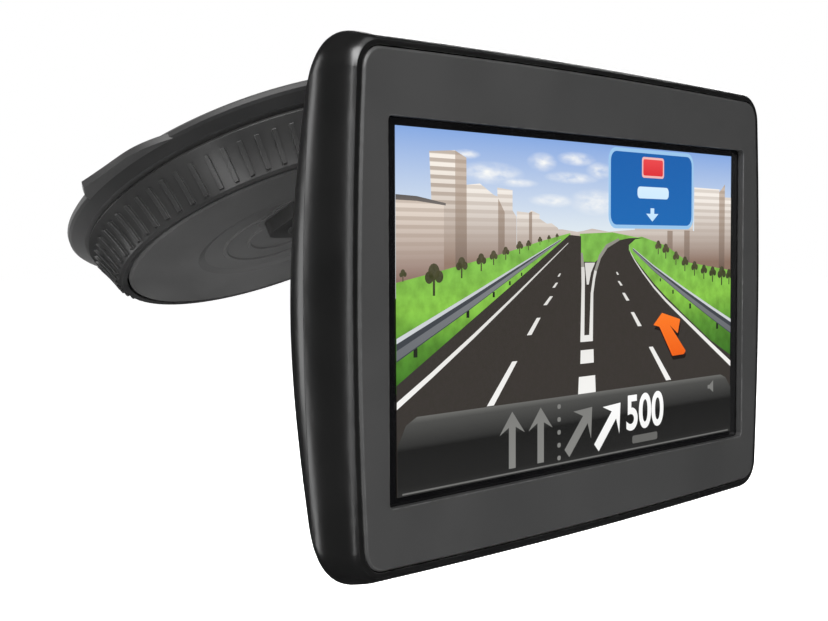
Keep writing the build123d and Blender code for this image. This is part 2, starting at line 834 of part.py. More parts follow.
# Loudspeaker with its foam ring
with BuildPart() as loudspeaker:
    with BuildSketch(depth(speaker_low)):
        with Locations(speaker_at):
            Circle(speaker_r - 1.8)
    slab(speaker_low, speaker_low + 1.6)
    with BuildSketch(depth(speaker_low + 1.6)):
        with Locations(speaker_at):
            Circle(speaker_r)
    slab(speaker_low + 1.6, speaker_high)
    with BuildSketch(depth(speaker_high - 0.9)):
        with Locations(speaker_at):
            Circle(speaker_r - 1.2)
            Circle(3, mode=Mode.SUBTRACT)
    slab(speaker_high - 0.9, speaker_high, mode=Mode.SUBTRACT)
loudspeaker.part.label = "loudspeaker"
export_step(loudspeaker.part, "parts/loudspeaker.step")

with BuildPart() as speaker_gasket:
    with BuildSketch(depth(speaker_high + 0.02)):
        with Locations(speaker_at):
            Circle(speaker_r - 0.4)
            Circle(speaker_r - 2.6, mode=Mode.SUBTRACT)
    slab(speaker_high + 0.02, speaker_high + 0.5)
speaker_gasket.part.label = "speaker_gasket"
export_step(speaker_gasket.part, "parts/speaker_gasket.step")

# Flat ribbons from the display and the touch panel to the board
with BuildPart() as display_ribbon:
    with BuildSketch(side_section(0)):
        with BuildLine():
            FilletPolyline(
                (-29.4, tray_high + 0.12), (-26.4, tray_high + 0.12), (-25, 8.3), (-16, 8.3), radius=0.8
            )
        trace(line_width=0.2)
    extrude(amount=8, both=True)
    block(7.6, board_low - 0.02, (0, -14), (18, 4))
display_ribbon.part.label = "display_ribbon"
export_step(display_ribbon.part, "parts/display_ribbon.step")

with BuildPart() as touch_ribbon:
    with BuildSketch(level_section(10)):
        with BuildLine():
            FilletPolyline(
                (48.8, touch_high + 0.14), (53.6, touch_high + 0.14), (53.6, 8.3), (42, 8.3), radius=0.5
            )
        trace(line_width=0.2)
    extrude(amount=3, both=True)
    block(7.6, board_low - 0.02, (41, 10), (3, 7.4))
touch_ribbon.part.label = "touch_ribbon"
export_step(touch_ribbon.part, "parts/touch_ribbon.step")

# The hollow of the rear shell, less its screw posts, loudspeaker seat and dock boss
with BuildPart() as rear_hollow:
    pillow(wall)
    split(bisect_by=depth(seam_depth), keep=Keep.BOTTOM)
    with BuildSketch(depth(seam_depth)):
        with Locations(*case_screws_at):
            Circle(case_post_r)
    slab(seam_depth, body_depth, mode=Mode.SUBTRACT)
    with BuildSketch(depth(17)):
        with Locations(speaker_at):
            Circle(speaker_r + 1.8)
            Circle(speaker_r + 0.6, mode=Mode.SUBTRACT)
    slab(17, body_depth, mode=Mode.SUBTRACT)
    with BuildSketch(depth(well_floor - 1.6)):
        with Locations((dock_x, dock_z)):
            Circle(dock_boss_r)
    slab(well_floor - 1.6, body_depth, mode=Mode.SUBTRACT)

# Rear shell: the pillow-shaped back with a round dock well, grille, ports and screw holes
grille_slots = [(i, 2 * math.sqrt((speaker_r - 1.6) ** 2 - (2.6 * i) ** 2)) for i in range(-2, 3)]
with BuildPart() as rear_shell:
    pillow(0)
    split(bisect_by=depth(seam_depth), keep=Keep.BOTTOM)
    with BuildSketch(depth(well_floor - 1.6)):
        with Locations((dock_x, dock_z)):
            Circle(dock_boss_r)
    slab(well_floor - 1.6, dock_boss_high)
    add(rear_hollow.part, mode=Mode.SUBTRACT)
    with BuildSketch(depth(well_floor)):
        with Locations((dock_x, dock_z)):
            Circle(well_r)
    slab(well_floor, dock_boss_high, mode=Mode.SUBTRACT)
    with BuildSketch(depth(seam_depth)):
        with Locations(*case_screws_at):
            Circle(1.2)
    slab(seam_depth, body_depth, mode=Mode.SUBTRACT)
    with BuildSketch(depth(case_seat)):
        with Locations(*case_screws_at):
            Circle(2.4)
    slab(case_seat, body_depth, mode=Mode.SUBTRACT)
    with BuildSketch(depth(speaker_high)):
        for i, length in grille_slots:
            with Locations((speaker_at[0], speaker_at[1] + 2.6 * i)):
                SlotOverall(length, 1.2)
    slab(speaker_high, body_depth + 1, mode=Mode.SUBTRACT)
    with BuildSketch(depth(usb_mid - 1.7)):
        with Locations((0, -37.5)):
            Rectangle(8.6, 6)
    slab(usb_mid - 1.7, usb_mid + 1.7, mode=Mode.SUBTRACT)
    with BuildSketch(depth(board_high)):
        with Locations((card_x, -38)):
            Rectangle(12.6, 5)
    slab(board_high, board_high + 1.4, mode=Mode.SUBTRACT)
    with BuildSketch(button_plane(button_low)):
        SlotOverall(button_size[0] + 2 * button_gap, button_size[1] + 2 * button_gap)
    extrude(amount=8, mode=Mode.SUBTRACT)
rear_shell.part.label = "rear_shell"
export_step(rear_shell.part, "parts/rear_shell.step")

with BuildPart() as case_screws:
    screws(depth(case_seat), case_screws_at, 2.1, 1.4, 1.05, 6.6, side=-1)
case_screws.part.label = "case_screws"
export_step(case_screws.part, "parts/case_screws.step")

# Dock ring: the flat ring that keeps the dock plate in its well
ring_screw_places = [(dock_x + x, dock_z + z) for x, z in around((90, 210, 330), ring_screw_circle)]
with BuildPart() as dock_ring:
    with BuildSketch(depth(dock_boss_high)):
        with Locations((dock_x, dock_z)):
            Circle(dock_ring_r)
            Circle(dock_ring_bore, mode=Mode.SUBTRACT)
        with Locations(*ring_screw_places):
            Circle(0.7, mode=Mode.SUBTRACT)
    slab(dock_boss_high, dock_ring_high)
dock_ring.part.label = "dock_ring"
export_step(dock_ring.part, "parts/dock_ring.step")

with BuildPart() as dock_ring_screws:
    screws(depth(dock_ring_high), ring_screw_places, 1.1, 0.5, 0.6, 1.4, side=-1)
dock_ring_screws.part.label = "dock_ring_screws"
export_step(dock_ring_screws.part, "parts/dock_ring_screws.step")
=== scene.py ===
"""Portable gps navigator on a twist-lock windscreen mount: finishes, lit map picture and studio."""

import logging
import math
from collections.abc import Iterable, Sequence
from dataclasses import dataclass, field
from enum import Enum

import bmesh
import bpy
from mathutils import Matrix, Vector


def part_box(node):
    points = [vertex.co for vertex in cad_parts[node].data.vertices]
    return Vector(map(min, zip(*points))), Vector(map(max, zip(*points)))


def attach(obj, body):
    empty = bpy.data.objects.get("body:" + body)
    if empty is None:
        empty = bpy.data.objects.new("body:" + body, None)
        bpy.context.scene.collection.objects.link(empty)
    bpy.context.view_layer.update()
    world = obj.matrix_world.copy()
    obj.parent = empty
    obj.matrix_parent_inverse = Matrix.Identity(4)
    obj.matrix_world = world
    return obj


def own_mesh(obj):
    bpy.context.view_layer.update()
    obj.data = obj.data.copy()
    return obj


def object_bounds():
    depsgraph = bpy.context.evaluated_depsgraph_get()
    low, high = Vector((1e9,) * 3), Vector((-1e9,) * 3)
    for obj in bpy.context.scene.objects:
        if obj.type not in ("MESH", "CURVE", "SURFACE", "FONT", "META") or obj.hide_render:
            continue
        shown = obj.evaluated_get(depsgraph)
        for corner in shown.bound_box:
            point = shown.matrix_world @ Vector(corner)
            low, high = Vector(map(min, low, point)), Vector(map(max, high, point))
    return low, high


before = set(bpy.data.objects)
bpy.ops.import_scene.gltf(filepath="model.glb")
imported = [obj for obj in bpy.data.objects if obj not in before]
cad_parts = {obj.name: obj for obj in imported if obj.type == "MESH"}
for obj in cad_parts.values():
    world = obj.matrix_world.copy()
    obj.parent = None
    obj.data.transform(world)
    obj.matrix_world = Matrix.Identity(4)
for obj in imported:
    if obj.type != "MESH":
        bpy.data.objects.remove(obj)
CAD_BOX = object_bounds()

MM = 0.001
LOG = logging.getLogger("navigator")

Point = tuple[float, float]
Colour = tuple[float, float, float, float]
Socket = bpy.types.NodeSocket
Feed = Socket | float | tuple[float, ...]


def light(code: str) -> Colour:
    """Turn a six-digit colour code into linear light.

    Args:
        code: Red, green and blue as three pairs of hexadecimal digits.

    Returns:
        Linear red, green and blue, and an alpha of one.
    """
    parts = [int(code[at : at + 2], 16) / 255 for at in (0, 2, 4)]
    red, green, blue = (p / 12.92 if p <= 0.04045 else ((p + 0.055) / 1.055) ** 2.4 for p in parts)
    return (red, green, blue, 1.0)


class Body(Enum):
    """The moving bodies that new pieces ride on."""

    UNIT = "navigator"


class Bench:
    """Places nodes in one shader tree and joins them."""

    def __init__(self, tree: bpy.types.NodeTree) -> None:
        """Start on an empty tree."""
        self.tree = tree
        tree.nodes.clear()

    def add(
        self, kind: str, feeds: dict[str | int, Feed] | None = None, **settings: object
    ) -> bpy.types.Node:
        """Place one node.

        Args:
            kind: The node's type name.
            feeds: What goes into its sockets, by name or number.
            **settings: Its own properties.

        Returns:
            The new node.
        """
        node = self.tree.nodes.new(kind)
        for name, value in settings.items():
            setattr(node, name, value)
        for key, value in (feeds or {}).items():
            self.feed(node.inputs[key], value)
        return node

    def feed(self, socket: Socket, value: Feed) -> None:
        """Join a socket to another, or set its value."""
        if isinstance(value, Socket):
            self.tree.links.new(value, socket)
        else:
            socket.default_value = value

    def sum(self, operation: str, *values: Feed, clamp: bool = False) -> Socket:
        """Place a Math node and return its result."""
        return self.add(
            "ShaderNodeMath", dict(enumerate(values)), operation=operation, use_clamp=clamp
        ).outputs[0]

    def vector(self, operation: str, *values: Feed) -> Socket:
        """Place a Vector Math node and return its first result."""
        return self.add("ShaderNodeVectorMath", dict(enumerate(values)), operation=operation).outputs[0]

    def mix(self, share: Feed, first: Feed, second: Feed) -> Socket:
        """Mix two colours and return the result."""
        node = self.add("ShaderNodeMix", data_type="RGBA")
        for at, value in ((0, share), (6, first), (7, second)):
            self.feed(node.inputs[at], value)
        return node.outputs[2]

    def between(
        self, value: Feed, low: float, high: float, first: float = 0.0, last: float = 1.0
    ) -> Socket:
        """Map a value from low..high to first..last, clamped, and return the result."""
        feeds: dict[str | int, Feed] = {0: value, 1: low, 2: high, 3: first, 4: last}
        return self.add("ShaderNodeMapRange", feeds).outputs[0]

    def noise(self, vector: Feed, scale: Feed, detail: float = 2.0) -> Socket:
        """Place a Noise Texture and return its value."""
        return self.add(
            "ShaderNodeTexNoise", {"Vector": vector, "Scale": scale, "Detail": detail}
        ).outputs[0]

    def ramp(self, value: Feed, stops: Sequence[tuple[float, Colour]]) -> Socket:
        """Place a Color Ramp with the given stops and return its colour."""
        node = self.add("ShaderNodeValToRGB", {0: value})
        points = node.color_ramp.elements
        while len(points) < len(stops):
            points.new(0.5)
        for point, (at, colour) in zip(points, stops):
            point.position = at
            point.color = colour
        return node.outputs[0]


@dataclass
class Effects:
    """Shader node groups that many finishes share, each built once."""

    speck_scale: float = 2600.0
    rub_scale: float = 700.0
    cloud_scale: float = 55.0
    groups: dict[str, bpy.types.NodeTree] = field(default_factory=dict)

    def start(
        self, name: str, inputs: Iterable[tuple[str, str]], outputs: Iterable[tuple[str, str]]
    ) -> Bench:
        """Make an empty group with its sockets.

        Args:
            name: The group's name.
            inputs: Each input's name and socket type.
            outputs: Each output's name and socket type.

        Returns:
            A bench on the group's tree.
        """
        tree = bpy.data.node_groups.new(name, "ShaderNodeTree")
        for side, sockets in (("INPUT", inputs), ("OUTPUT", outputs)):
            for label, kind in sockets:
                tree.interface.new_socket(label, in_out=side, socket_type=kind)
        self.groups[name] = tree
        return Bench(tree)

    def grain(self) -> None:
        """Build the fine moulded grain, with a slow mottle over it."""
        desk = self.start(
            "moulded_grain",
            (("Vector", "NodeSocketVector"), ("Scale", "NodeSocketFloat")),
            (("Height", "NodeSocketFloat"), ("Mottle", "NodeSocketFloat")),
        )
        given = desk.add("NodeGroupInput")
        fine = desk.noise(given.outputs["Vector"], given.outputs["Scale"], 3.0)
        feeds: dict[str | int, Feed] = {
            "Vector": given.outputs["Vector"], "Scale": given.outputs["Scale"]
        }
        cells = desk.add("ShaderNodeTexVoronoi", feeds).outputs["Distance"]
        height = desk.sum("MULTIPLY_ADD", cells, 0.5, desk.sum("MULTIPLY", fine, 0.7))
        slow = desk.noise(given.outputs["Vector"], self.cloud_scale, 3.0)
        desk.add("NodeGroupOutput", {"Height": height, "Mottle": desk.between(slow, 0.3, 0.7)})

    def edges(self) -> None:
        """Build the rounded edge's normal and the mask of edges lightened partly as rubbed wear and
        partly as painted highlight.
        """
        desk = self.start(
            "edge_wear_and_highlight",
            (("Vector", "NodeSocketVector"), ("Radius", "NodeSocketFloat")),
            (("Mask", "NodeSocketFloat"), ("Normal", "NodeSocketVector")),
        )
        given = desk.add("NodeGroupInput")
        rounded = desk.add("ShaderNodeBevel", {"Radius": given.outputs["Radius"]}, samples=6).outputs[0]
        facing = desk.add("ShaderNodeNewGeometry").outputs["Normal"]
        dot = desk.add(
            "ShaderNodeVectorMath", {0: rounded, 1: facing}, operation="DOT_PRODUCT"
        ).outputs["Value"]
        # Edge mask: lightens bent edges as a painted highlight, broken up by the rub noise as wear.
        bend = desk.between(dot, 0.995, 0.8)
        rub = desk.between(desk.noise(given.outputs["Vector"], self.rub_scale, 4.0), 0.35, 0.65)
        desk.add(
            "NodeGroupOutput", {"Mask": desk.sum("MULTIPLY", bend, rub, clamp=True), "Normal": rounded}
        )

    def dust(self) -> None:
        """Build the settled dust's mask, thickest on faces that look up."""
        desk = self.start(
            "settled_dust",
            (("Vector", "NodeSocketVector"), ("Amount", "NodeSocketFloat")),
            (("Mask", "NodeSocketFloat"),),
        )
        given = desk.add("NodeGroupInput")
        upward = desk.add(
            "ShaderNodeSeparateXYZ", {0: desk.add("ShaderNodeNewGeometry").outputs["Normal"]}
        ).outputs["Z"]
        lie = desk.between(upward, -0.4, 1.0, 0.25, 1.0)
        specks = desk.between(desk.noise(given.outputs["Vector"], self.speck_scale, 4.0), 0.62, 0.75)
        film = desk.between(
            desk.noise(given.outputs["Vector"], self.cloud_scale * 2, 2.0), 0.35, 0.8, 0.1, 0.5
        )
        spread = desk.sum("MULTIPLY", desk.sum("MAXIMUM", specks, film), lie)
        desk.add(
            "NodeGroupOutput",
            {"Mask": desk.sum("MULTIPLY", spread, given.outputs["Amount"], clamp=True)},
        )

    def place(self, desk: Bench, name: str, feeds: dict[str | int, Feed]) -> bpy.types.Node:
        """Place one of the groups in a material.

        Args:
            desk: The material's bench.
            name: The group's name.
            feeds: What goes into its sockets.

        Returns:
            The group node.
        """
        if not self.groups:
            self.grain()
            self.edges()
            self.dust()
        node = desk.add("ShaderNodeGroup", node_tree=self.groups[name])
        for key, value in feeds.items():
            desk.feed(node.inputs[key], value)
        return node


EFFECTS = Effects()


@dataclass(frozen=True)
class Finish:
    """A moulded or machined surface: colour, grain, rubbed edges lightened partly as wear and partly as
    painted highlight, and settled dust.

    Distances are in metres, the grain's scale is in features per metre.
    """

    name: str
    colour: Colour
    roughness: float
    metallic: float = 0.0
    specular: float = 0.5
    coat: float = 0.0
    coat_roughness: float = 0.05
    sheen: float = 0.0
    grain: float = 3200.0
    relief: float = 0.2
    depth: float = 0.00003
    mottle: float = 0.12
    wear_and_highlight: float = 0.12
    edge: float = 0.00015
    dust: float = 0.12
    dust_colour: Colour = (0.32, 0.30, 0.27, 1.0)
    see_through: float = 0.0

    def tone(
        self, desk: Bench, where: Socket, mottle: Socket
    ) -> Socket:
        """Lay the ground colour, a little uneven.

        Args:
            desk: The material's bench.
            where: Object coordinates, not used by this plain tone.
            mottle: The grain group's slow mottle.

        Returns:
            The colour socket.
        """
        red, green, blue, _ = self.colour
        lift = 1 + self.mottle
        drop = 1 - self.mottle
        dark = (red * drop, green * drop, blue * drop, 1.0)
        pale = (red * lift, green * lift, blue * lift, 1.0)
        return desk.mix(mottle, dark, pale)

    def material(self) -> bpy.types.Material:
        """Build the finish.

        Returns:
            The node material.
        """
        made = bpy.data.materials.new(f"{self.name}_finish")
        made.use_nodes = True
        desk = Bench(made.node_tree)
        where = desk.add("ShaderNodeTexCoord").outputs["Object"]
        grain = EFFECTS.place(desk, "moulded_grain", {"Vector": where, "Scale": self.grain})
        edges = EFFECTS.place(desk, "edge_wear_and_highlight", {"Vector": where, "Radius": self.edge})
        dust = EFFECTS.place(desk, "settled_dust", {"Vector": where, "Amount": self.dust})
        ground = self.tone(desk, where, grain.outputs["Mottle"])
        # Edges lightened towards grey: rubbed wear plus a painted highlight where rounded edges would
        # catch light.
        worn_and_highlighted = desk.mix(
            desk.sum("MULTIPLY", edges.outputs["Mask"], self.wear_and_highlight), ground, (0.5, 0.5, 0.5, 1.0)
        )
        dusty = desk.mix(dust.outputs["Mask"], worn_and_highlighted, self.dust_colour)
        even = desk.between(
            grain.outputs["Mottle"], 0.0, 1.0, self.roughness * 0.9, self.roughness * 1.1
        )
        rough = desk.sum("MULTIPLY_ADD", dust.outputs["Mask"], 0.5, even, clamp=True)
        bump = desk.add(
            "ShaderNodeBump",
            {
                "Height": grain.outputs["Height"],
                "Strength": self.relief,
                "Distance": self.depth,
                "Normal": edges.outputs["Normal"],
            },
        )
        shader = desk.add(
            "ShaderNodeBsdfPrincipled",
            {
                "Base Color": dusty,
                "Roughness": rough,
                "Metallic": self.metallic,
                "Specular IOR Level": self.specular,
                "Coat Weight": self.coat,
                "Coat Roughness": self.coat_roughness,
                "Sheen Weight": self.sheen,
                "Transmission Weight": self.see_through,
                "Normal": bump.outputs[0],
            },
        )
        desk.add("ShaderNodeOutputMaterial", {0: shader.outputs[0]})
        return made


@dataclass(frozen=True)
class BrushedMetal(Finish):
    """Metal with fine lines drawn along one direction."""

    metallic: float = 1.0
    lines: tuple[float, float, float] = (6.0, 600.0, 600.0)

    def tone(
        self, desk: Bench, where: Socket, mottle: Socket
    ) -> Socket:
        """Draw lines on the ground colour; see Finish.tone."""
        drawn = desk.noise(desk.vector("MULTIPLY", where, self.lines), 8.0, 3.0)
        red, green, blue, _ = self.colour
        return desk.mix(
            desk.between(drawn, 0.3, 0.7), (red * 0.6, green * 0.6, blue * 0.6, 1.0), self.colour
        )


@dataclass(frozen=True)
class Laminate(Finish):
    """Circuit board laminate with copper tracks under the resist."""

    track: Colour = (0.02, 0.16, 0.06, 1.0)
    pitch: float = 700.0

    def tone(
        self, desk: Bench, where: Socket, mottle: Socket
    ) -> Socket:
        """Draw tracks on the ground colour; see Finish.tone."""
        cells = desk.add(
            "ShaderNodeTexVoronoi", {"Vector": where, "Scale": self.pitch}, distance="MANHATTAN"
        ).outputs["Distance"]
        return desk.mix(desk.between(cells, 0.42, 0.48), self.colour, self.track)


@dataclass(frozen=True)
class RibbonFilm(Finish):
    """Flexible film with parallel conductors."""

    conductor: Colour = (0.45, 0.22, 0.05, 1.0)
    pitch: float = 900.0

    def tone(
        self, desk: Bench, where: Socket, mottle: Socket
    ) -> Socket:
        """Draw conductors on the ground colour; see Finish.tone."""
        waves = desk.add(
            "ShaderNodeTexWave", {"Vector": where, "Scale": self.pitch}, bands_direction="X"
        ).outputs[1]
        return desk.mix(desk.between(waves, 0.45, 0.55), self.colour, self.conductor)


FINISHES: dict[str, Finish] = {
    finish.name: finish
    for finish in (
        Finish(
            "cup_rubber", light("131314"), 0.55, sheen=0.15, grain=1500, mottle=0.2, wear_and_highlight=0.1, dust=0.1
        ),
        Finish("mount_plastic", light("262626"), 0.42, grain=3800, relief=0.25),
        Finish("face_plastic", light("3e3e3e"), 0.46, grain=4200, relief=0.25, dust=0.05),
        Finish("ring_plastic", light("242424"), 0.32, grain=3800, relief=0.22, dust=0.05),
        BrushedMetal("screw_steel", light("8d8f92"), 0.32, grain=1500, dust=0.05),
        BrushedMetal("spring_steel", light("a9abae"), 0.28, grain=1500, dust=0.05),
        Finish("white_plastic", light("dcdad2"), 0.4, grain=2500),
        Finish(
            "bezel_plastic",
            light("2b2b2b"),
            0.5,
            grain=5200,
            relief=0.2,
            mottle=0.04,
            dust=0.02,
            edge=0.0004,
        ),
        Finish(
            "display_glass", light("050506"), 0.06, grain=300, relief=0.02, wear_and_highlight=0.0, dust=0.02, coat=0.3
        ),
        Finish("foam", light("232323"), 0.9, grain=1800, relief=0.8, depth=0.0002),
        BrushedMetal("stamped_steel", light("b5b7b9"), 0.35, grain=900),
        Finish("clear_plastic", light("e8ecee"), 0.08, see_through=0.9, dust=0.02),
        Finish("lcd_glass", light("101418"), 0.08, dust=0.02),
        Finish(
            "gloss_shell",
            light("0b0b0b"),
            0.3,
            grain=260,
            relief=0.02,
            depth=0.00005,
            mottle=0.1,
            wear_and_highlight=0.08,
            edge=0.0002,
            dust=0.015,
        ),
        Laminate("board_laminate", light("0e4a22"), 0.35),
        Finish("chip_plastic", light("18181a"), 0.45, grain=2600),
        Finish("antenna_ceramic", light("b9a88a"), 0.5, grain=1800),
        BrushedMetal("battery_foil", light("c6c8cc"), 0.22, grain=400, relief=0.5, depth=0.0001),
        Finish("lead_plastic", light("8c1614"), 0.4),
        RibbonFilm("ribbon_film", light("7a3f0c"), 0.35, coat=0.4),
        Finish("button_plastic", light("1c1c1d"), 0.3, grain=3000),
    )
}


@dataclass(frozen=True)
class Ink:
    """One lit colour of the map picture, shaded from top to foot.

    Heights are in millimetres above the middle of the display.
    """

    name: str
    top: Colour
    foot: Colour
    high: float = 27.0
    low: float = -27.0
    stripe: float = 0.0
    stripe_pitch: float = 1.25
    speckle: float = 0.0
    speckle_scale: float = 500.0
    shade: tuple[tuple[float, Colour], ...] = ()

    def colour(self, desk: Bench, where: Socket, middle: float) -> Socket:
        """Shade the ink from its foot to its top, with stripes and speckle.

        Args:
            desk: The material's bench.
            where: Object coordinates.
            middle: The height of the display's middle in metres.

        Returns:
            The colour socket.
        """
        height = desk.add("ShaderNodeSeparateXYZ", {0: where}).outputs["Z"]
        rise = desk.between(height, middle + self.low * MM, middle + self.high * MM)
        tone = desk.ramp(rise, self.shade or ((0.0, self.foot), (1.0, self.top)))
        if self.stripe:
            turn = desk.sum("FRACT", desk.sum("DIVIDE", height, self.stripe_pitch * MM))
            band = desk.sum("MULTIPLY", desk.between(turn, 0.45, 0.6), self.stripe)
            tone = desk.mix(
                desk.sum("MULTIPLY", band, desk.between(rise, 0.1, 0.8)), tone, light("8d7562")
            )
        if self.speckle:
            fleck = desk.between(desk.noise(where, self.speckle_scale, 5.0), 0.35, 0.7)
            tone = desk.mix(desk.sum("MULTIPLY", fleck, self.speckle), tone, (0.01, 0.02, 0.0, 1.0))
        return tone

    def material(self, middle: Vector) -> bpy.types.Material:
        """Build the lit ink under its clear front.

        Args:
            middle: The display's middle, in metres.

        Returns:
            The node material.
        """
        made = bpy.data.materials.new(self.name)
        made.use_nodes = True
        desk = Bench(made.node_tree)
        where = desk.add("ShaderNodeTexCoord").outputs["Object"]
        shader = desk.add(
            "ShaderNodeBsdfPrincipled",
            {
                "Base Color": (0.004, 0.004, 0.004, 1.0),
                "Roughness": 0.12,
                "Specular IOR Level": 0.3,
                "Emission Color": self.paint(desk, where, middle),
                "Emission Strength": 1.0,
            },
        )
        desk.add("ShaderNodeOutputMaterial", {0: shader.outputs[0]})
        return made

    def paint(self, desk: Bench, where: Socket, middle: Vector) -> Socket:
        """Give the lit colour; a cloudy ink adds to it."""
        return self.colour(desk, where, middle.z)


@dataclass(frozen=True)
class CloudyInk(Ink):
    """Sky with soft flat clouds, each given by its middle and half widths in millimetres."""

    clouds: tuple[tuple[float, float, float, float], ...] = ()

    def paint(self, desk: Bench, where: Socket, middle: Vector) -> Socket:
        """Lay the clouds on the sky.

        Args:
            desk: The material's bench.
            where: Object coordinates.
            middle: The display's middle, in metres.

        Returns:
            The colour socket.
        """
        cover: Feed = 0.0
        for x, z, half_w, half_h in self.clouds:
            at = (middle.x + x * MM, middle.y, middle.z + z * MM)
            spread = (1 / (half_w * MM), 0.0, 1 / (half_h * MM))
            local = desk.vector("MULTIPLY", desk.vector("SUBTRACT", where, at), spread)
            puff = desk.add(
                "ShaderNodeTexGradient", {"Vector": local}, gradient_type="SPHERICAL"
            ).outputs[1]
            cover = desk.sum("MAXIMUM", cover, desk.between(puff, 0.0, 0.8))
        wisp = desk.between(
            desk.noise(desk.vector("MULTIPLY", where, (1.0, 1.0, 3.0)), 260.0, 4.0), 0.3, 0.7, 0.15
        )
        share = desk.sum("MULTIPLY", cover, wisp, clamp=True)
        return desk.mix(share, self.colour(desk, where, middle.z), light("fbfbf8"))


def box_outline(left: float, right: float, low: float, high: float) -> list[Point]:
    """Give an upright rectangle's corners."""
    return [(left, low), (right, low), (right, high), (left, high)]


def bar_outline(start: Point, end: Point, wide: float, narrow: float) -> list[Point]:
    """Give a stripe that narrows from its start to its end.

    Args:
        start: Middle of the near end.
        end: Middle of the far end.
        wide: Width of the near end, across the page.
        narrow: Width of the far end.

    Returns:
        Four corners.
    """
    (x0, z0), (x1, z1) = start, end
    return [(x0 - wide / 2, z0), (x0 + wide / 2, z0), (x1 + narrow / 2, z1), (x1 - narrow / 2, z1)]


def band_outline(line: Sequence[tuple[float, float, float]]) -> list[Point]:
    """Give a band under a line of points, each with the band's height there."""
    return [(x, z) for x, z, _ in line] + [(x, z - drop) for x, z, drop in reversed(line)]


@dataclass
class PictureSheet:
    """One thin layer of the lit picture, drawn in millimetres about the display's middle."""

    name: str
    layer: int
    ink: Ink
    outlines: list[list[Point]]
    rounding: float = 0.0

    def fill(self, mesh: bmesh.types.BMesh) -> None:
        """Fill the sheet's outlines, and round their corners if asked."""
        for outline in self.outlines:
            mesh.faces.new([mesh.verts.new((x, 0.0, z)) for x, z in outline])
        if self.rounding:
            bmesh.ops.bevel(
                mesh,
                geom=mesh.verts[:],
                offset=self.rounding,
                affect="VERTICES",
                segments=5,
                profile=0.5,
                material=-1,
            )


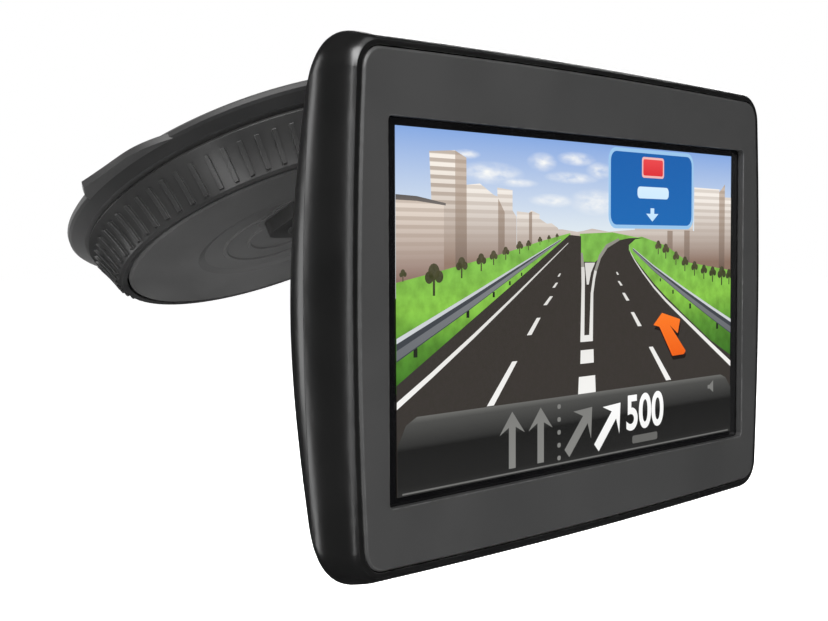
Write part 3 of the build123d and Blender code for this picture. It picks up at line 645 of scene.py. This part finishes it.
@dataclass
class MapPicture:
    """The lane guidance picture on the display, built of thin layers in front of the touch panel."""

    half_width: float = 47.45
    half_height: float = 26.95
    back_depth: float = 1.27
    step: float = 0.012
    thickness: float = 0.008
    drop: float = 0.4
    middle: Vector = field(default_factory=Vector)

    def settle(self) -> None:
        """Find the display's middle on the front panel's face."""
        low, high = (Vector(corner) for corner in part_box("front_bezel"))
        self.middle = Vector(((low.x + high.x) / 2, low.y, (low.z + high.z) / 2 - self.drop * MM))

    def finish_sheet(self, mesh: bmesh.types.BMesh, sheet: PictureSheet) -> bpy.types.Object:
        """Clip a flat sheet to the picture, give it its thickness and put it in place.

        Args:
            mesh: The flat sheet, in millimetres about the display's middle.
            sheet: What it is.

        Returns:
            The finished piece.
        """
        for normal, reach in (
            ((1, 0, 0), self.half_width),
            ((-1, 0, 0), self.half_width),
            ((0, 0, 1), self.half_height),
            ((0, 0, -1), self.half_height),
        ):
            plane = Vector(normal) * reach
            everything = mesh.verts[:] + mesh.edges[:] + mesh.faces[:]
            bmesh.ops.bisect_plane(
                mesh, geom=everything, plane_co=plane, plane_no=normal, clear_outer=True
            )
        grown = bmesh.ops.extrude_face_region(mesh, geom=mesh.faces[:])
        raised = [item for item in grown["geom"] if isinstance(item, bmesh.types.BMVert)]
        bmesh.ops.translate(mesh, verts=raised, vec=(0.0, self.thickness, 0.0))
        bmesh.ops.recalc_face_normals(mesh, faces=mesh.faces[:])
        depth = self.back_depth - self.thickness - self.step * sheet.layer
        place = Matrix.Translation(self.middle + Vector((0.0, depth * MM, 0.0))) @ Matrix.Scale(MM, 4)
        bmesh.ops.transform(mesh, matrix=place, verts=mesh.verts[:])
        data = bpy.data.meshes.new(sheet.name)
        mesh.to_mesh(data)
        mesh.free()
        piece = bpy.data.objects.new(sheet.name, data)
        bpy.context.scene.collection.objects.link(piece)
        data.materials.append(sheet.ink.material(self.middle))
        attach(piece, Body.UNIT.value)
        LOG.info("%s: %d faces", sheet.name, len(data.polygons))
        return piece

    def lay(self, sheet: PictureSheet) -> bpy.types.Object:
        """Build one sheet from its outlines."""
        mesh = bmesh.new()
        sheet.fill(mesh)
        return self.finish_sheet(mesh, sheet)

    def sky(self) -> None:
        """Lay the sky and its clouds over the whole picture."""
        ink = CloudyInk(
            "picture_sky_ink",
            light("86a9e2"),
            light("e3ecf1"),
            low=11.0,
            clouds=(
                (-31.6, 23.6, 3.4, 0.8),
                (-25.7, 20.9, 8.5, 1.9),
                (-19.5, 19.6, 6.0, 0.8),
                (-12.9, 23.2, 4.2, 1.7),
                (-3.4, 24.1, 5.8, 1.3),
                (-4.6, 20.9, 8.0, 1.1),
                (-10.0, 17.0, 7.0, 1.2),
                (3.0, 22.4, 4.0, 1.6),
                (2.0, 17.0, 8.0, 2.4),
            ),
        )
        page = box_outline(-self.half_width - 1, self.half_width + 1, 2.0, self.half_height + 1)
        self.lay(PictureSheet("picture_sky", 0, ink, [page]))

    def town(self) -> None:
        """Lay the rows of buildings on both sides."""
        far = Ink("far_walls_ink", light("f1eae2"), light("a08b7e"), high=15.0, low=8.5, stripe=0.25)
        self.lay(
            PictureSheet(
                "picture_far_walls",
                1,
                far,
                [
                    [
                        (-19.5, 6.5), (-13.6, 7.9), (-13.6, 14.7), (-15.8, 15.3), (-16.4, 14.9),
                        (-19.5, 15.1),
                    ],
                    [
                        (-13.6, 7.9), (-8.6, 9.6), (-8.6, 12.5), (-10.4, 13.3), (-11.6, 13.2),
                        (-13.6, 14.0),
                    ],
                    [(-8.6, 9.6), (-3.0, 10.4), (-3.0, 11.9), (-7.4, 12.3), (-8.6, 12.3)],
                    [
                        (-4.4, 9.5), (14.0, 9.5), (14.0, 12.4), (6.0, 12.0), (1.0, 12.5), (-1.5, 12.1),
                        (-4.4, 11.8),
                    ],
                    [(14.0, 8.8), (33.5, 5.0), (33.5, 14.0), (24.0, 13.0), (14.0, 12.6)],
                ],
            )
        )
        pale = Ink("pale_walls_ink", light("f6efe7"), light("8c7263"), high=18.5, low=6.5, stripe=0.3)
        self.lay(
            PictureSheet(
                "picture_pale_walls",
                2,
                pale,
                [
                    [
                        (-31.8, 4.6), (-24.0, 5.8), (-24.0, 17.2), (-25.2, 17.5), (-28.6, 19.2),
                        (-31.8, 18.9),
                    ],
                    [
                        (-22.0, 6.2), (-19.6, 6.6), (-19.6, 14.2), (-20.6, 15.2), (-20.6, 18.4),
                        (-24.4, 18.7), (-24.0, 6.0),
                    ],
                    [(32.0, 3.4), (43.1, 2.4), (43.1, 20.4), (33.9, 20.5), (33.9, 12.3), (32.0, 12.3)],
                    [(45.0, 2.0), (48.5, 2.0), (48.5, 18.9), (45.0, 18.9)],
                ],
            )
        )
        shaded = Ink(
            "shaded_walls_ink", light("c9b9ab"), light("6d574b"), high=20.0, low=5.0, stripe=0.35
        )
        self.lay(
            PictureSheet(
                "picture_shaded_walls",
                3,
                shaded,
                [
                    [(-34.5, 4.4), (-31.7, 4.8), (-31.8, 23.0), (-34.5, 24.0)],
                    [(-24.2, 5.8), (-22.6, 6.2), (-22.6, 14.9), (-24.2, 17.0)],
                    [(-16.4, 7.0), (-15.6, 7.2), (-15.6, 15.1), (-16.4, 14.9)],
                    [(43.0, 2.2), (45.1, 2.0), (45.1, 21.4), (43.0, 19.8)],
                    [(30.4, 4.4), (32.3, 4.0), (32.3, 12.4), (30.4, 12.4)],
                    [(24.6, 6.0), (26.4, 5.6), (26.4, 12.3), (24.6, 12.3)],
                ],
            )
        )
        tower = Ink("tower_ink", light("f9f1e7"), light("937a6b"), high=22.0, low=7.0, stripe=0.6)
        low_block = Ink(
            "low_block_ink", light("e4d7cb"), light("8b6f64"), high=15.0, low=4.5, stripe=0.35
        )
        self.lay(
            PictureSheet(
                "picture_tower", 4, tower, [[(-39.0, 4.0), (-34.4, 4.8), (-34.4, 24.0), (-40.2, 23.6)]]
            )
        )
        self.lay(
            PictureSheet(
                "picture_low_block",
                5,
                low_block,
                [[(-48.5, 1.8), (-37.0, 3.4), (-37.0, 16.0), (-48.5, 16.9)]],
            )
        )
        roof = Ink("roof_ink", light("5e5a58"), light("77706c"), high=17.0, low=15.5)
        eaves = ((-48.5, 17.1, 0.8), (-43.0, 16.9, 0.7), (-36.6, 16.0, 0.35))
        self.lay(PictureSheet("picture_roof", 6, roof, [band_outline(eaves)]))

    def lawns(self) -> None:
        """Lay the grass beside and between the roads."""
        ink = Ink(
            "lawn_ink",
            light("9ad25a"),
            light("3c7a20"),
            high=8.0,
            low=-12.0,
            speckle=0.35,
            speckle_scale=420.0,
            shade=(
                (0.0, light("356f1e")), (0.35, light("5d9a33")), (0.62, light("8fcf4c")),
                (1.0, light("86c552")),
            ),
        )
        left = [
            (-48.5, -12.5), (-5.0, 11.0), (-5.4, 11.7), (-13.0, 10.4), (-24.0, 8.2), (-31.8, 6.9),
            (-37.0, 6.0),
        ]
        right = [
            (48.5, -14.5), (10.0, 7.0), (10.0, 10.4), (16.0, 11.2), (24.0, 9.6), (32.0, 6.4), (48.5, 4.6)
        ]
        gore = [(-2.6, 6.8), (3.0, 6.8), (8.0, 9.8), (17.0, 10.8), (7.0, 11.9), (-2.6, 11.6)]
        self.lay(PictureSheet("picture_lawns", 7, ink, [left + [(-48.5, 4.1)], right, gore]))

    def trees(self) -> None:
        """Plant soft dark trees along the feet of the buildings."""
        crown = Ink(
            "tree_ink",
            light("5c5540"),
            light("3a4426"),
            high=9.0,
            low=2.0,
            speckle=0.45,
            speckle_scale=1100.0,
        )
        mesh = bmesh.new()
        for x, foot, size in (
            (-39.3, 2.2, 2.1),
            (-46.0, 4.4, 0.8),
            (-33.0, 4.7, 1.4),
            (-28.4, 5.7, 1.2),
            (-25.4, 6.6, 1.0),
            (-22.4, 7.4, 0.9),
            (-18.9, 8.3, 0.9),
            (-16.6, 8.9, 0.7),
            (-13.6, 9.7, 0.6),
            (-11.2, 10.2, 0.5),
            (-9.0, 10.6, 0.45),
            (21.5, 8.0, 1.1),
            (24.0, 7.2, 1.2),
            (27.5, 6.0, 1.1),
            (30.6, 4.8, 1.2),
            (34.0, 3.9, 1.2),
            (37.4, 3.2, 1.2),
            (40.6, 2.6, 1.3),
            (44.0, 1.9, 1.6),
            (46.8, 2.0, 1.3),
        ):
            for side, rise, share in ((0.0, 1.7, 0.6), (-0.5, 1.3, 0.45), (0.55, 1.35, 0.45)):
                place = Matrix.Translation((x + side * size, 0.0, foot + rise * size)) @ Matrix.Rotation(
                    math.pi / 2, 4, "X"
                )
                bmesh.ops.create_circle(
                    mesh, cap_ends=True, segments=14, radius=share * size, matrix=place
                )
            trunk = box_outline(x - 0.12 * size, x + 0.12 * size, foot, foot + 1.4 * size)
            mesh.faces.new([mesh.verts.new((px, 0.0, pz)) for px, pz in trunk])
        self.finish_sheet(mesh, PictureSheet("picture_trees", 8, crown, []))

    def roads(self) -> None:
        """Lay both carriageways as one dark surface."""
        ink = Ink("road_ink", light("39332f"), light("383330"), speckle=0.12, speckle_scale=1500.0)
        verge = [
            (48.5, -12.3), (40.0, -8.6), (30.0, -3.1), (24.0, 0.3), (20.0, 2.8), (16.4, 5.4), (13.4, 7.6)
        ]
        bend = [
            (12.0, 8.8), (12.0, 9.7), (14.0, 10.7), (17.0, 11.0), (12.0, 10.9), (8.0, 10.4), (5.0, 9.2),
            (2.9, 7.4),
        ]
        left = [
            (1.8, 6.8), (-2.3, 6.9), (-2.3, 11.2), (-5.6, 11.4), (-48.5, -11.2), (-48.5, -28.0),
            (48.5, -28.0),
        ]
        self.lay(PictureSheet("picture_roads", 9, ink, [verge + bend + left]))

    def crash_rails(self) -> None:
        """Lay the crash rails: a dark trough, a grey face and a bright top edge, with posts below."""
        left = ((-48.5, -4.2), (-31.0, 2.2), (-20.0, 6.3), (-8.0, 10.7))
        right = ((48.5, -5.2), (40.0, -2.0), (30.0, 1.9), (20.0, 6.0), (13.2, 9.2))
        depth = {
            -48.5: 3.5,
            -31.0: 2.3,
            -20.0: 1.35,
            -8.0: 0.3,
            48.5: 2.9,
            40.0: 2.4,
            30.0: 1.75,
            20.0: 1.05,
            13.2: 0.5,
        }
        trough = Ink("rail_trough_ink", light("464a50"), light("3c4046"), high=10.0, low=-8.0)
        face = Ink("rail_face_ink", light("85888b"), light("66696e"), high=10.0, low=-8.0)
        edge = Ink("rail_edge_ink", light("c4c8cc"), light("d4d8dc"), high=10.0, low=-8.0)
        posts = [
            box_outline(x - w, x + w, z - 3.2 * w, z)
            for x, z, w in (
                (-43.4, -5.4, 0.42),
                (-31.6, -0.3, 0.34),
                (-25.4, 2.4, 0.26),
                (-21.4, 4.0, 0.2),
                (-18.4, 5.3, 0.16),
                (42.4, -5.4, 0.36),
                (32.5, -1.3, 0.3),
                (26.5, 1.4, 0.22),
                (22.2, 3.6, 0.17),
            )
        ]
        dark = Ink("rail_post_ink", light("1d2416"), light("1d2416"))
        self.lay(PictureSheet("picture_rail_posts", 10, dark, posts))
        for name, layer, ink, share, shift in (
            ("picture_rail_troughs", 11, trough, 1.0, 0.0),
            ("picture_rail_faces", 12, face, 0.42, 0.52),
            ("picture_rail_edges", 13, edge, 0.22, 0.0),
        ):
            bands = [
                band_outline(
                    [(x, z - shift * depth[x], share * depth[x]) for x, z in line]
                ) for line in (left, right)
            ]
            self.lay(PictureSheet(name, layer, ink, bands))

    def markings(self) -> None:
        """Lay the white lines, the dashes and the splitting island's outline."""
        ink = Ink("marking_ink", light("d9d7d2"), light("f4f3f0"), high=8.0, low=-14.0)
        lines = [
            band_outline(
                (
                    (-48.5, -13.6, 1.1), (-40.0, -9.2, 0.9), (-30.0, -3.75, 0.7), (-20.0, 1.95, 0.45),
                    (-6.0, 10.1, 0.12),
                )
            ),
            band_outline(
                (
                    (12.1, 9.6, 0.12),
                    (12.4, 8.5, 0.2),
                    (13.8, 7.1, 0.28),
                    (16.4, 4.95, 0.36),
                    (20.0, 2.3, 0.45),
                    (24.0, -0.2, 0.55),
                    (30.0, -3.5, 0.7),
                    (40.0, -9.0, 0.9),
                    (48.5, -13.6, 1.1),
                )
            ),
        ]
        for start, end, wide, narrow in (
            ((-26.3, -15.4), (-20.2, -8.8), 1.7, 1.3),
            ((-16.5, -4.8), (-14.0, -2.1), 1.2, 1.0),
            ((-12.3, -0.1), (-10.6, 1.3), 0.95, 0.8),
            ((-10.0, 2.7), (-9.1, 3.5), 0.7, 0.6),
            ((-8.7, 4.5), (-8.2, 5.0), 0.5, 0.45),
            ((25.1, -15.2), (19.1, -8.7), 1.7, 1.3),
            ((15.5, -4.8), (13.1, -2.2), 1.2, 1.0),
            ((11.7, -0.1), (10.3, 1.3), 0.95, 0.8),
            ((9.7, 2.6), (8.8, 3.4), 0.7, 0.6),
            ((8.6, 4.5), (8.2, 5.0), 0.5, 0.45),
        ):
            lines.append(bar_outline(start, end, wide, narrow))
        curve = [(1.1, -6.7), (1.2, 1.5), (1.75, 4.0), (2.2, 5.2)]
        inside = [(1.5, 5.4), (1.1, 4.2), (0.45, 1.5), (0.05, -5.7)]
        lines += [
            [(-2.5, -6.7), (-1.4, -6.7), (-1.25, 4.5), (-1.4, 6.0), (-2.3, 6.0), (-2.2, 3.0)],
            curve + inside + [(0.05, -6.7)],
            [(-1.5, -6.7), (0.05, -6.7), (0.05, -5.6), (-1.5, -5.6)],
            [(-0.7, 3.0), (-0.15, 3.0), (0.5, 5.0), (1.7, 6.7), (-1.3, 6.7)],
            [(-2.5, -10.4), (1.4, -10.4), (1.3, -8.1), (-2.4, -8.1)],
            [(-3.1, -15.7), (2.0, -15.7), (1.8, -12.6), (-2.9, -12.6)],
        ]
        self.lay(PictureSheet("picture_markings", 14, ink, lines))
        grey = Ink("kerb_ink", light("8f8d84"), light("a19f97"), high=10.0, low=4.0)
        kerb = [
            (1.5, 5.4), (2.2, 5.2), (3.4, 7.4), (5.4, 9.2), (9.0, 10.5), (8.8, 10.9), (5.0, 9.8),
            (2.9, 8.0),
        ]
        near = [(-2.3, 6.0), (-1.4, 6.0), (-1.9, 8.4), (-2.4, 8.4)]
        self.lay(PictureSheet("picture_kerb", 13, grey, [kerb, near]))

    def turn_arrow(self) -> None:
        """Lay the bright arrow that turns with the road, and its shadow."""
        arrow = [
            (19.9, -4.8), (22.7, -2.7), (28.9, -4.1), (28.1, -6.7), (25.4, -5.1), (30.9, -10.1),
            (30.3, -10.7),
        ]
        arrow += [(26.3, -10.8), (21.9, -5.2)]
        shadow = Ink("arrow_shadow_ink", light("1f130d"), light("160d09"))
        glow = Ink("arrow_ink", light("ff7c22"), light("f0600c"), high=-2.5, low=-11.0)
        cast = [(x + 0.25, z - 0.75) for x, z in arrow]
        self.lay(PictureSheet("picture_arrow_shadow", 15, shadow, [cast], rounding=0.25))
        self.lay(PictureSheet("picture_arrow", 16, glow, [arrow], rounding=0.2))

    def road_sign(self) -> None:
        """Lay the blank direction sign: border, field, road shield, place bar and down arrow."""
        frost = Ink("sign_border_ink", light("9cc8ee"), light("8dbfe9"))
        field_ink = Ink("sign_field_ink", light("1660ad"), light("1768b4"), high=26.0, low=13.0)
        red = Ink("sign_shield_ink", light("ee4a4e"), light("dc2a33"), high=25.3, low=21.8)
        pale = Ink("sign_mark_ink", light("d9efff"), light("c4e6ff"), high=21.0, low=14.0)
        pink = Ink("shield_border_ink", light("f3b9b6"), light("f0a9a8"))
        down = [
            (18.8, 16.3), (18.8, 15.3), (17.4, 15.3), (19.4, 13.9), (21.4, 15.3), (20.0, 15.3),
            (20.0, 16.3),
        ]
        for name, layer, ink, outline, rounding in (
            ("picture_sign_border", 10, frost, box_outline(5.7, 33.4, 12.6, 26.7), 2.2),
            ("picture_sign_field", 11, field_ink, box_outline(6.35, 32.75, 13.25, 26.05), 1.7),
            ("picture_sign_shield_border", 12, pink, box_outline(16.0, 23.2, 21.7, 25.4), 0.6),
            ("picture_sign_shield", 13, red, box_outline(16.4, 22.8, 22.1, 25.0), 0.4),
            ("picture_sign_place_bar", 12, pale, box_outline(14.6, 24.8, 18.0, 20.1), 0.8),
            ("picture_sign_down_arrow", 13, pale, down, 0.1),
        ):
            self.lay(PictureSheet(name, layer, ink, [outline], rounding=rounding))

    def status_bar(self) -> None:
        """Lay the dark bar with its lane arrows, distance and small marks."""
        shade = (
            (0.0, light("2b2b2a")),
            (0.12, light("1d1d1c")),
            (0.58, light("131312")),
            (0.64, light("2d2d2c")),
            (0.92, light("4c4c4a")),
            (1.0, light("6a6a67")),
        )
        ground = Ink("bar_ink", light("4c4c4a"), light("1d1d1c"), high=-15.5, low=-27.0, shade=shade)
        bar = [
            (-43.2, -15.5), (43.6, -15.5), (45.6, -16.2), (48.5, -19.4), (48.5, -28.0), (-48.5, -28.0)
        ]
        self.lay(PictureSheet("picture_bar", 17, ground, [bar + [(-48.5, -21.5), (-45.6, -16.6)]]))
        rim = Ink("bar_rim_ink", light("70706e"), light("70706e"))
        self.lay(PictureSheet("picture_bar_rim", 18, rim, [box_outline(-46.4, 46.6, -26.75, -26.5)]))
        grey = Ink("lane_ink", light("7c7c79"), light("858582"), high=-16.0, low=-26.0)
        white = Ink("live_lane_ink", light("ffffff"), light("f2f2f0"), high=-16.0, low=-26.0)
        stem = [
            (0.0, 0.0), (3.2, -3.6), (0.85, -2.5), (0.85, -9.1), (-0.85, -9.1), (-0.85, -2.5),
            (-3.2, -3.6),
        ]
        slant = math.radians(-45)
        stretch = 1.12
        leaning = [
            (
                stretch * (x * math.cos(slant) - z * math.sin(slant)),
                stretch * (x * math.sin(slant) + z * math.cos(slant)),
            )
            for x, z in stem
        ]
        straight = [[(x + at, z - 16.8) for x, z in stem] for at in (-20.9, -13.5)]
        left_turn = [(x + 0.9, z - 18.0) for x, z in leaning]
        dots = [
            box_outline(-8.95, -8.05, z - 0.38, z + 0.38) for z in (-17.1, -19.25, -21.4, -23.55, -25.7)
        ]
        speaker = [
            (38.9, -17.9), (39.6, -17.9), (40.9, -18.7), (40.9, -16.4), (39.6, -17.2), (38.9, -17.2)
        ]
        self.lay(PictureSheet("picture_lanes", 18, grey, straight + [left_turn, speaker]))
        self.lay(PictureSheet("picture_lane_dots", 18, grey, dots, rounding=0.3))
        self.lay(
            PictureSheet("picture_live_lane", 19, white, [[(x + 9.4, z - 18.0) for x, z in leaning]])
        )
        unit = Ink("unit_bar_ink", light("666663"), light("666663"))
        self.lay(
            PictureSheet(
                "picture_unit_bar", 18, unit, [box_outline(13.2, 21.3, -25.7, -24.3)], rounding=0.4
            )
        )
        self.distance(white)

    def distance(self, ink: Ink) -> None:
        """Set the distance's three digits in their place.

        Args:
            ink: The lit white.
        """
        left, right, low, high = 11.3, 23.3, -23.3, -16.9
        words = bpy.data.curves.new("distance_digits", "FONT")
        words.body = "500"
        words.offset = 0.022
        setter = bpy.data.objects.new("distance_digits", words)
        bpy.context.scene.collection.objects.link(setter)
        bpy.context.view_layer.update()
        data = bpy.data.meshes.new_from_object(
            setter.evaluated_get(bpy.context.evaluated_depsgraph_get())
        )
        bpy.data.objects.remove(setter)
        mesh = bmesh.new()
        mesh.from_mesh(data)
        xs = [vert.co.x for vert in mesh.verts]
        ys = [vert.co.y for vert in mesh.verts]
        wide = (right - left) / (max(xs) - min(xs))
        tall = (high - low) / (max(ys) - min(ys))
        upright = Matrix.Rotation(math.pi / 2, 4, "X") @ Matrix.Diagonal((wide, tall, 1.0, 1.0))
        shift = Matrix.Translation((left - min(xs) * wide, 0.0, low - min(ys) * tall))
        bmesh.ops.transform(mesh, matrix=shift @ upright, verts=mesh.verts[:])
        bmesh.ops.dissolve_limit(mesh, angle_limit=0.001, verts=mesh.verts[:], edges=mesh.edges[:])
        self.finish_sheet(mesh, PictureSheet("picture_distance", 19, ink, []))

    def build(self) -> None:
        """Build every layer, from the sky forwards."""
        self.settle()
        self.sky()
        self.town()
        self.lawns()
        self.trees()
        self.roads()
        self.crash_rails()
        self.markings()
        self.turn_arrow()
        self.road_sign()
        self.status_bar()


@dataclass
class Housing:
    """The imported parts, each dressed in its own finish."""

    dressed: dict[str, bpy.types.Material] = field(default_factory=dict)

    def mix_finish(self, kind: str) -> bpy.types.Material:
        """Build the finish of one material slot, once."""
        self.dressed[kind] = FINISHES[kind].material()
        return self.dressed[kind]

    def dress(self) -> None:
        """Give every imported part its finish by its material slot."""
        for name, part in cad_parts.items():
            for place in part.material_slots:
                kind = place.material.name
                if kind in FINISHES:
                    place.material = self.dressed.get(kind) or self.mix_finish(kind)
            LOG.info("%s: dressed", name)


@dataclass(frozen=True)
class ReturnSpring:
    """The disc spring between the lifting plunger and the face plate.

    It faces away from the windscreen, and the plunger's lift is in millimetres.
    """

    joint: str = "plunger_lift"
    outwards: Vector = field(default_factory=lambda: Vector((0.05787, -0.445577, -0.893371)))
    lift: float = 2.5

    def fit(self) -> None:
        """Give the spring a mesh of its own."""
        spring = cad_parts["return_spring"]
        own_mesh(spring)


@dataclass(frozen=True)
class Softbox:
    """One soft lamp, aimed at the display. The bearing turns from the driver's side towards the left."""

    name: str
    bearing: float
    elevation: float
    distance: float
    width: float
    height: float
    power: float
    glossy: bool = True

    def hang(self, target: Vector) -> None:
        """Hang the lamp and aim it.

        Args:
            target: The point that it faces.
        """
        turn = math.radians(self.bearing)
        rise = math.radians(self.elevation)
        out = Vector(
            (-math.sin(turn) * math.cos(rise), -math.cos(turn) * math.cos(rise), math.sin(rise))
        )
        lamp = bpy.data.lights.new(self.name, "AREA")
        lamp.shape = "RECTANGLE"
        lamp.size = self.width
        lamp.size_y = self.height
        lamp.energy = self.power
        stand = bpy.data.objects.new(self.name, lamp)
        stand.matrix_world = Matrix.Translation(
            target + out * self.distance
        ) @ out.to_track_quat("Z", "Y").to_matrix().to_4x4()
        stand.visible_camera = False
        stand.visible_glossy = self.glossy
        bpy.context.scene.collection.objects.link(stand)


@dataclass
class Studio:
    """Pale floor, soft lamps and the camera."""

    middle: Vector
    floor_drop: float = 0.09
    floor_radius: float = 6.0
    floor_glow: float = 0.62
    room_light: Colour = (0.45, 0.45, 0.46, 1.0)
    gloss_light: Colour = (0.03, 0.03, 0.032, 1.0)
    eye: tuple[float, float, float] = (-0.1862, -0.1317, 0.0094)
    heading: float = 47.01
    tilt: float = -2.71
    roll: float = -0.19
    lens: float = 57.96
    lamps: tuple[Softbox, ...] = (
        Softbox("key", 42.0, 42.0, 1.2, 0.8, 0.8, 26.0),
        Softbox("back_strip", 150.0, 4.0, 1.1, 0.35, 1.1, 4.5),
        Softbox("top_strip", 238.0, 22.0, 1.1, 0.5, 0.3, 3.0),
        Softbox("edge_strip", 62.0, 0.0, 1.1, 0.1, 1.0, 3.0),
        Softbox("fill", -35.0, 65.0, 1.5, 0.8, 0.8, 3.0),
        Softbox("rear_fill", 215.0, 35.0, 1.4, 0.9, 0.7, 9.0, glossy=False),
    )

    def floor(self) -> None:
        """Lay the pale floor under the object."""
        mesh = bmesh.new()
        place = Matrix.Translation((self.middle.x, self.middle.y, CAD_BOX[0][2] - self.floor_drop))
        bmesh.ops.create_circle(mesh, cap_ends=True, segments=96, radius=self.floor_radius, matrix=place)
        data = bpy.data.meshes.new("floor")
        mesh.to_mesh(data)
        mesh.free()
        slab = bpy.data.objects.new("floor", data)
        bpy.context.scene.collection.objects.link(slab)
        paint = bpy.data.materials.new("floor_paint")
        paint.use_nodes = True
        desk = Bench(paint.node_tree)
        where = desk.add("ShaderNodeTexCoord").outputs["Object"]
        tone = desk.mix(desk.noise(where, 3.0), light("f4f4f2"), light("fbfbfa"))
        shader = desk.add(
            "ShaderNodeBsdfPrincipled",
            {
                "Base Color": tone,
                "Roughness": 0.9,
                "Emission Color": light("ffffff"),
                "Emission Strength": self.floor_glow,
            },
        )
        desk.add("ShaderNodeOutputMaterial", {0: shader.outputs[0]})
        data.materials.append(paint)
        slab.visible_glossy = False

    def surround(self) -> None:
        """Light the room evenly, keeping it dim in gloss."""
        world = bpy.data.worlds.new("room")
        bpy.context.scene.world = world
        world.use_nodes = True
        desk = Bench(world.node_tree)
        path = desk.add("ShaderNodeLightPath")
        soft = desk.mix(path.outputs["Is Glossy Ray"], self.room_light, self.gloss_light)
        seen = desk.mix(path.outputs["Is Camera Ray"], soft, (1.0, 1.0, 1.0, 1.0))
        glow = desk.add("ShaderNodeBackground", {"Color": seen, "Strength": 1.0})
        desk.add("ShaderNodeOutputWorld", {0: glow.outputs[0]})

    def camera(self) -> None:
        """Set the camera in the driver's place, to the left of the display."""
        data = bpy.data.cameras.new("camera")
        data.sensor_fit = "HORIZONTAL"
        data.sensor_width = 36.0
        data.lens = self.lens
        data.clip_start = 0.005
        view = bpy.data.objects.new("camera", data)
        aim = Matrix.Rotation(math.radians(-self.heading), 4, "Z") @ Matrix.Rotation(
            math.radians(90 + self.tilt), 4, "X"
        )
        place = Matrix.Translation(self.middle + Vector(self.eye))
        view.matrix_world = place @ aim @ Matrix.Rotation(math.radians(self.roll), 4, "Z")
        bpy.context.scene.collection.objects.link(view)
        bpy.context.scene.camera = view

    def build(self) -> None:
        """Set up the whole studio."""
        bpy.context.scene.view_settings.view_transform = "Standard"
        self.floor()
        self.surround()
        self.camera()
        for lamp in self.lamps:
            lamp.hang(self.middle)


def main() -> None:
    """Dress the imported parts, build the picture and set up the studio."""
    logging.basicConfig(level=logging.INFO, format="%(name)s %(message)s")
    Housing().dress()
    picture = MapPicture()
    picture.build()
    ReturnSpring().fit()
    Studio(picture.middle).build()


if __name__ == "__main__":
    main()
